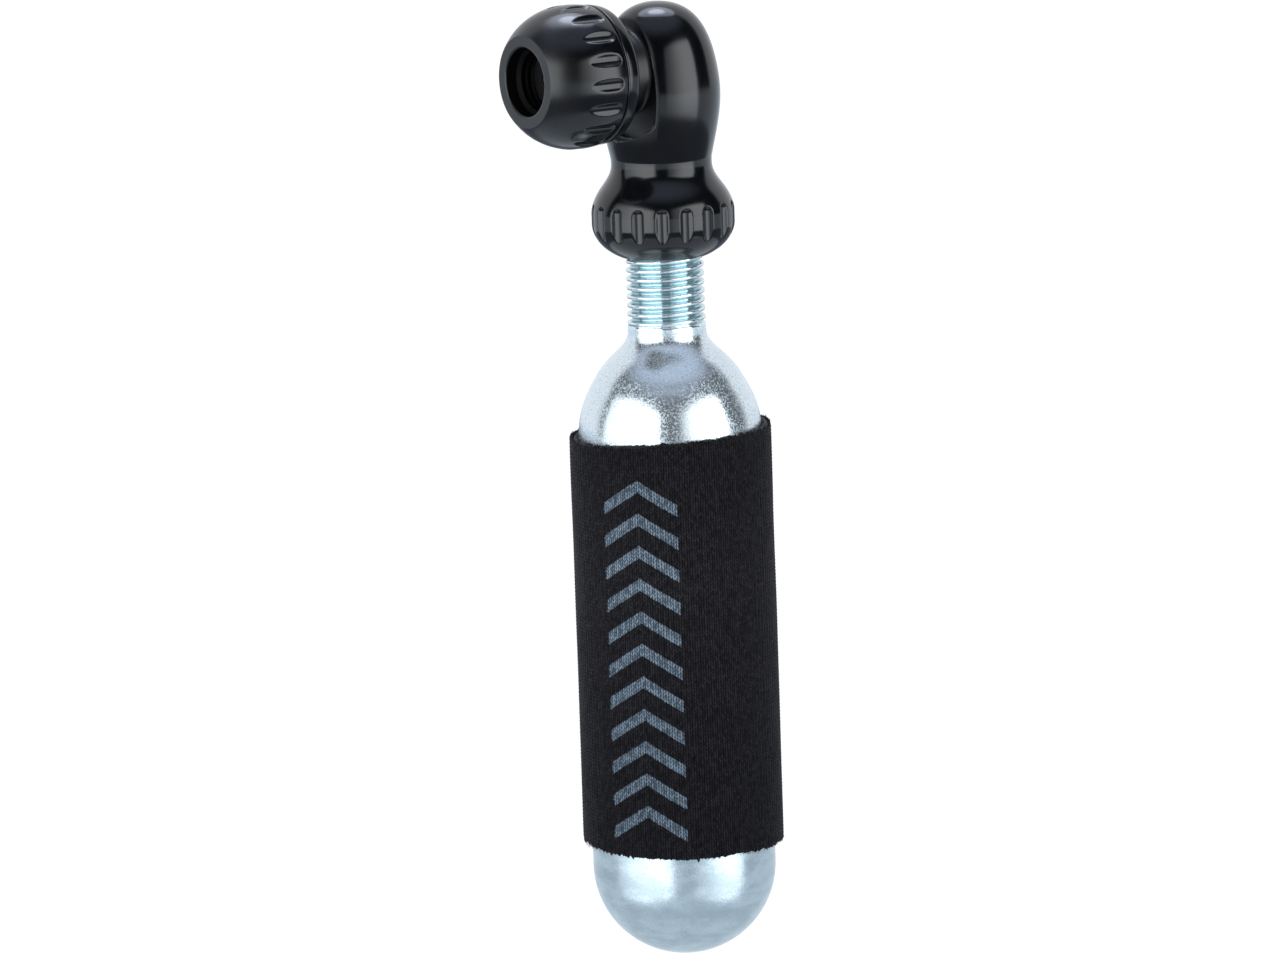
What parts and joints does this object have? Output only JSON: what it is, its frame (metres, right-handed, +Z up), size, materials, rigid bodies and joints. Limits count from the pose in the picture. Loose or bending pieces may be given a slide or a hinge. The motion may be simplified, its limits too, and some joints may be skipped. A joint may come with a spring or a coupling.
{
  "type": "portable tire inflator",
  "caption": "Pocket CO2 tyre inflator: elbow head with a screw-on ball chuck, a threaded gas cartridge and a knit-faced insulating sleeve.",
  "frame": {"origin": "centre of the valve socket's mouth, on the chuck's axis", "axes": "+Z up along the cartridge towards the head, -X out of the valve socket's mouth, the cartridge hangs below the head at x = 19 mm"},
  "size_m": [0.0311, 0.0242, 0.1161],
  "materials": {
    "black_anodised": "gloss black anodised, turned",
    "zinc_plated_steel": "bright blue-white zinc plating",
    "lance_steel": "ground steel",
    "brass_plug": "turned brass",
    "black_rubber": "moulded nitrile rubber",
    "gasket_rubber": "moulded rubber",
    "face_knit": "black jersey knit with a slate print",
    "lining_knit": "black jersey lining",
    "foam_rubber": "closed-cell foam rubber",
    "seam_thread": "black polyester thread"
  },
  "bodies": {
    "head": {"head_shell": "black_anodised", "lance_carrier": "brass_plug", "carrier_o_ring": "black_rubber", "piercing_lance": "lance_steel", "cartridge_face_seal": "black_rubber", "threaded_spigot": "black_anodised", "spigot_o_ring": "black_rubber", "shank_o_ring": "black_rubber", "chuck_rear_ring": "black_anodised"},
    "chuck_gasket": {"valve_gasket": "gasket_rubber"},
    "chuck": {"chuck_ball": "black_anodised", "core_depressor": "brass_plug"},
    "cartridge_cap": {"cartridge_seal_cap": "zinc_plated_steel"},
    "cartridge": {"cartridge_shell": "zinc_plated_steel"},
    "sleeve": {"sleeve_lining": "lining_knit", "sleeve_foam": "foam_rubber", "sleeve_knit_face": "face_knit", "sleeve_seam_thread": "seam_thread"}
  },
  "joints": [
    {"name": "cartridge_travel", "type": "slide", "parent": "head", "child": "cartridge_cap", "axis": [0, 0, 1], "range_m": [-0.00424, 0.00557]},
    {"name": "cartridge_turn", "type": "hinge", "parent": "cartridge_cap", "child": "cartridge", "pos_m": [0.019, 0, 0], "axis": [0, 0, 1], "range_deg": [-1440, 1890]},
    {"name": "chuck_travel", "type": "slide", "parent": "head", "child": "chuck_gasket", "axis": [-1, 0, 0], "range_m": [0, 0.004]},
    {"name": "chuck_turn", "type": "hinge", "parent": "chuck_gasket", "child": "chuck", "pos_m": [0, 0, 0], "axis": [-1, 0, 0], "range_deg": [-1, 1441]},
    {"name": "sleeve_slide", "type": "slide", "parent": "cartridge", "child": "sleeve", "axis": [0, 0, -1], "range_m": [-0.002, 0.066]}
  ],
  "couplings": [
    {"joint": "cartridge_travel", "follows": "cartridge_turn", "m_per_rad": 0.00016844},
    {"joint": "chuck_turn", "follows": "chuck_travel", "rad_per_m": 6283.2}
  ]
}
